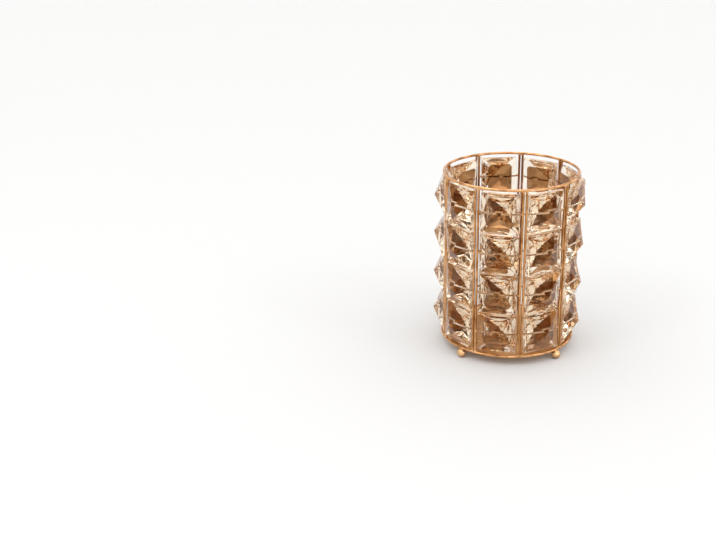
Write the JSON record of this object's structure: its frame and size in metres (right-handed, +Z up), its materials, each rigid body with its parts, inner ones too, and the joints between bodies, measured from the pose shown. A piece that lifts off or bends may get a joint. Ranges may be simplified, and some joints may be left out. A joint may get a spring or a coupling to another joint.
{
  "type": "crystal brush holder",
  "caption": "Round open cup of square faceted glass beads on wire pins in a gold wire cage with a sheet floor and small ball feet, for make-up brushes or pens.",
  "frame": {"origin": "on the cup's axis, in the plane that the four feet stand on", "axes": "+Z up along the cup's axis; -Y is the front, 5 degrees round from the middle of column 1"},
  "size_m": [0.0973, 0.0973, 0.119],
  "materials": {
    "gold_wire": "rose gold plated wire, polished",
    "gold_pin": "gold plated pin wire, polished",
    "gold_sheet": "rose gold plated sheet, brushed",
    "gold_ball": "gold plated ball, polished",
    "crystal_glass": "faceted clear glass with a champagne tint, polished"
  },
  "bodies": {
    "cage": {"top_ring": "gold_wire", "bottom_ring": "gold_wire", "base_plate": "gold_sheet", "feet": "gold_ball", "uprights_c1": "gold_wire", "pins_c1": "gold_pin", "uprights_c2": "gold_wire", "pins_c2": "gold_pin", "uprights_c3": "gold_wire", "pins_c3": "gold_pin", "uprights_c4": "gold_wire", "pins_c4": "gold_pin", "uprights_c5": "gold_wire", "pins_c5": "gold_pin", "uprights_c6": "gold_wire", "pins_c6": "gold_pin", "uprights_c7": "gold_wire", "pins_c7": "gold_pin", "uprights_c8": "gold_wire", "pins_c8": "gold_pin", "uprights_c9": "gold_wire", "pins_c9": "gold_pin"},
    "crystal_c1_r1": {"crystal_c1_r1": "crystal_glass"},
    "crystal_c1_r2": {"crystal_c1_r2": "crystal_glass"},
    "crystal_c1_r3": {"crystal_c1_r3": "crystal_glass"},
    "crystal_c1_r4": {"crystal_c1_r4": "crystal_glass"},
    "crystal_c2_r1": {"crystal_c2_r1": "crystal_glass"},
    "crystal_c2_r2": {"crystal_c2_r2": "crystal_glass"},
    "crystal_c2_r3": {"crystal_c2_r3": "crystal_glass"},
    "crystal_c2_r4": {"crystal_c2_r4": "crystal_glass"},
    "crystal_c3_r1": {"crystal_c3_r1": "crystal_glass"},
    "crystal_c3_r2": {"crystal_c3_r2": "crystal_glass"},
    "crystal_c3_r3": {"crystal_c3_r3": "crystal_glass"},
    "crystal_c3_r4": {"crystal_c3_r4": "crystal_glass"},
    "crystal_c4_r1": {"crystal_c4_r1": "crystal_glass"},
    "crystal_c4_r2": {"crystal_c4_r2": "crystal_glass"},
    "crystal_c4_r3": {"crystal_c4_r3": "crystal_glass"},
    "crystal_c4_r4": {"crystal_c4_r4": "crystal_glass"},
    "crystal_c5_r1": {"crystal_c5_r1": "crystal_glass"},
    "crystal_c5_r2": {"crystal_c5_r2": "crystal_glass"},
    "crystal_c5_r3": {"crystal_c5_r3": "crystal_glass"},
    "crystal_c5_r4": {"crystal_c5_r4": "crystal_glass"},
    "crystal_c6_r1": {"crystal_c6_r1": "crystal_glass"},
    "crystal_c6_r2": {"crystal_c6_r2": "crystal_glass"},
    "crystal_c6_r3": {"crystal_c6_r3": "crystal_glass"},
    "crystal_c6_r4": {"crystal_c6_r4": "crystal_glass"},
    "crystal_c7_r1": {"crystal_c7_r1": "crystal_glass"},
    "crystal_c7_r2": {"crystal_c7_r2": "crystal_glass"},
    "crystal_c7_r3": {"crystal_c7_r3": "crystal_glass"},
    "crystal_c7_r4": {"crystal_c7_r4": "crystal_glass"},
    "crystal_c8_r1": {"crystal_c8_r1": "crystal_glass"},
    "crystal_c8_r2": {"crystal_c8_r2": "crystal_glass"},
    "crystal_c8_r3": {"crystal_c8_r3": "crystal_glass"},
    "crystal_c8_r4": {"crystal_c8_r4": "crystal_glass"},
    "crystal_c9_r1": {"crystal_c9_r1": "crystal_glass"},
    "crystal_c9_r2": {"crystal_c9_r2": "crystal_glass"},
    "crystal_c9_r3": {"crystal_c9_r3": "crystal_glass"},
    "crystal_c9_r4": {"crystal_c9_r4": "crystal_glass"}
  },
  "joints": [
    {"name": "turn_c1_r1", "type": "hinge", "parent": "cage", "child": "crystal_c1_r1", "pos_m": [-0.00359, -0.04098, 0.02193], "axis": [0.9962, -0.0872, 0], "range_deg": [-31.38, 24.62]},
    {"name": "turn_c1_r2", "type": "hinge", "parent": "cage", "child": "crystal_c1_r2", "pos_m": [-0.00359, -0.04098, 0.04883], "axis": [0.9962, -0.0872, 0], "range_deg": [-23.02, 32.98]},
    {"name": "turn_c1_r3", "type": "hinge", "parent": "cage", "child": "crystal_c1_r3", "pos_m": [-0.00359, -0.04098, 0.07573], "axis": [0.9962, -0.0872, 0], "range_deg": [-31.97, 24.03]},
    {"name": "turn_c1_r4", "type": "hinge", "parent": "cage", "child": "crystal_c1_r4", "pos_m": [-0.00359, -0.04098, 0.10263], "axis": [0.9962, -0.0872, 0], "range_deg": [-27.13, 28.87]},
    {"name": "turn_c2_r1", "type": "hinge", "parent": "cage", "child": "crystal_c2_r1", "pos_m": [0.0236, -0.0337, 0.02193], "axis": [0.8192, 0.5736, 0], "range_deg": [-25.31, 30.69]},
    {"name": "turn_c2_r2", "type": "hinge", "parent": "cage", "child": "crystal_c2_r2", "pos_m": [0.0236, -0.0337, 0.04883], "axis": [0.8192, 0.5736, 0], "range_deg": [-32.83, 23.17]},
    {"name": "turn_c2_r3", "type": "hinge", "parent": "cage", "child": "crystal_c2_r3", "pos_m": [0.0236, -0.0337, 0.07573], "axis": [0.8192, 0.5736, 0], "range_deg": [-23.57, 32.44]},
    {"name": "turn_c2_r4", "type": "hinge", "parent": "cage", "child": "crystal_c2_r4", "pos_m": [0.0236, -0.0337, 0.10263], "axis": [0.8192, 0.5736, 0], "range_deg": [-29.71, 26.29]},
    {"name": "turn_c3_r1", "type": "hinge", "parent": "cage", "child": "crystal_c3_r1", "pos_m": [0.03974, -0.01065, 0.02193], "axis": [0.2588, 0.9659, 0], "range_deg": [-29.91, 26.09]},
    {"name": "turn_c3_r2", "type": "hinge", "parent": "cage", "child": "crystal_c3_r2", "pos_m": [0.03974, -0.01065, 0.04883], "axis": [0.2588, 0.9659, 0], "range_deg": [-23.47, 32.53]},
    {"name": "turn_c3_r3", "type": "hinge", "parent": "cage", "child": "crystal_c3_r3", "pos_m": [0.03974, -0.01065, 0.07573], "axis": [0.2588, 0.9659, 0], "range_deg": [-32.77, 23.23]},
    {"name": "turn_c3_r4", "type": "hinge", "parent": "cage", "child": "crystal_c3_r4", "pos_m": [0.03974, -0.01065, 0.10263], "axis": [0.2588, 0.9659, 0], "range_deg": [-41, 15]},
    {"name": "turn_c4_r1", "type": "hinge", "parent": "cage", "child": "crystal_c4_r1", "pos_m": [0.03728, 0.01739, 0.02193], "axis": [-0.4226, 0.9063, 0], "range_deg": [-26.92, 29.08]},
    {"name": "turn_c4_r2", "type": "hinge", "parent": "cage", "child": "crystal_c4_r2", "pos_m": [0.03728, 0.01739, 0.04883], "axis": [-0.4226, 0.9063, 0], "range_deg": [-32.1, 23.9]},
    {"name": "turn_c4_r3", "type": "hinge", "parent": "cage", "child": "crystal_c4_r3", "pos_m": [0.03728, 0.01739, 0.07573], "axis": [-0.4226, 0.9063, 0], "range_deg": [-23.04, 32.96]},
    {"name": "turn_c4_r4", "type": "hinge", "parent": "cage", "child": "crystal_c4_r4", "pos_m": [0.03728, 0.01739, 0.10263], "axis": [-0.4226, 0.9063, 0], "range_deg": [-31.21, 24.79]},
    {"name": "turn_c5_r1", "type": "hinge", "parent": "cage", "child": "crystal_c5_r1", "pos_m": [0.01739, 0.03728, 0.02193], "axis": [-0.9063, 0.4226, 0], "range_deg": [-28.22, 27.78]},
    {"name": "turn_c5_r2", "type": "hinge", "parent": "cage", "child": "crystal_c5_r2", "pos_m": [0.01739, 0.03728, 0.04883], "axis": [-0.9063, 0.4226, 0], "range_deg": [-24.46, 31.54]},
    {"name": "turn_c5_r3", "type": "hinge", "parent": "cage", "child": "crystal_c5_r3", "pos_m": [0.01739, 0.03728, 0.07573], "axis": [-0.9063, 0.4226, 0], "range_deg": [-32.99, 23]},
    {"name": "turn_c5_r4", "type": "hinge", "parent": "cage", "child": "crystal_c5_r4", "pos_m": [0.01739, 0.03728, 0.10263], "axis": [-0.9063, 0.4226, 0], "range_deg": [-24.17, 31.83]},
    {"name": "turn_c6_r1", "type": "hinge", "parent": "cage", "child": "crystal_c6_r1", "pos_m": [-0.01065, 0.03974, 0.02193], "axis": [-0.9659, -0.2588, 0], "range_deg": [-28.65, 27.35]},
    {"name": "turn_c6_r2", "type": "hinge", "parent": "cage", "child": "crystal_c6_r2", "pos_m": [-0.01065, 0.03974, 0.04883], "axis": [-0.9659, -0.2588, 0], "range_deg": [-30.87, 25.13]},
    {"name": "turn_c6_r3", "type": "hinge", "parent": "cage", "child": "crystal_c6_r3", "pos_m": [-0.01065, 0.03974, 0.07573], "axis": [-0.9659, -0.2588, 0], "range_deg": [-23.12, 32.88]},
    {"name": "turn_c6_r4", "type": "hinge", "parent": "cage", "child": "crystal_c6_r4", "pos_m": [-0.01065, 0.03974, 0.10263], "axis": [-0.9659, -0.2588, 0], "range_deg": [-32.33, 23.67]},
    {"name": "turn_c7_r1", "type": "hinge", "parent": "cage", "child": "crystal_c7_r1", "pos_m": [-0.0337, 0.0236, 0.02193], "axis": [-0.5736, -0.8192, 0], "range_deg": [-26.5, 29.5]},
    {"name": "turn_c7_r2", "type": "hinge", "parent": "cage", "child": "crystal_c7_r2", "pos_m": [-0.0337, 0.0236, 0.04883], "axis": [-0.5736, -0.8192, 0], "range_deg": [-25.89, 30.11]},
    {"name": "turn_c7_r3", "type": "hinge", "parent": "cage", "child": "crystal_c7_r3", "pos_m": [-0.0337, 0.0236, 0.07573], "axis": [-0.5736, -0.8192, 0], "range_deg": [-32.62, 23.38]},
    {"name": "turn_c7_r4", "type": "hinge", "parent": "cage", "child": "crystal_c7_r4", "pos_m": [-0.0337, 0.0236, 0.10263], "axis": [-0.5736, -0.8192, 0], "range_deg": [-23.3, 32.7]},
    {"name": "turn_c8_r1", "type": "hinge", "parent": "cage", "child": "crystal_c8_r1", "pos_m": [-0.04098, -0.00359, 0.02193], "axis": [0.0872, -0.9962, 0], "range_deg": [-30.31, 25.69]},
    {"name": "turn_c8_r2", "type": "hinge", "parent": "cage", "child": "crystal_c8_r2", "pos_m": [-0.04098, -0.00359, 0.04883], "axis": [0.0872, -0.9962, 0], "range_deg": [-29.29, 26.71]},
    {"name": "turn_c8_r3", "type": "hinge", "parent": "cage", "child": "crystal_c8_r3", "pos_m": [-0.04098, -0.00359, 0.07573], "axis": [0.0872, -0.9962, 0], "range_deg": [-23.78, 32.22]},
    {"name": "turn_c8_r4", "type": "hinge", "parent": "cage", "child": "crystal_c8_r4", "pos_m": [-0.04098, -0.00359, 0.10263], "axis": [0.0872, -0.9962, 0], "range_deg": [-32.92, 23.08]},
    {"name": "turn_c9_r1", "type": "hinge", "parent": "cage", "child": "crystal_c9_r1", "pos_m": [-0.02909, -0.02909, 0.02193], "axis": [0.7071, -0.7071, 0], "range_deg": [-24.96, 31.04]},
    {"name": "turn_c9_r2", "type": "hinge", "parent": "cage", "child": "crystal_c9_r2", "pos_m": [-0.02909, -0.02909, 0.04883], "axis": [0.7071, -0.7071, 0], "range_deg": [-27.56, 28.44]},
    {"name": "turn_c9_r3", "type": "hinge", "parent": "cage", "child": "crystal_c9_r3", "pos_m": [-0.02909, -0.02909, 0.07573], "axis": [0.7071, -0.7071, 0], "range_deg": [-31.69, 24.31]},
    {"name": "turn_c9_r4", "type": "hinge", "parent": "cage", "child": "crystal_c9_r4", "pos_m": [-0.02909, -0.02909, 0.10263], "axis": [0.7071, -0.7071, 0], "range_deg": [-23, 33]}
  ]
}
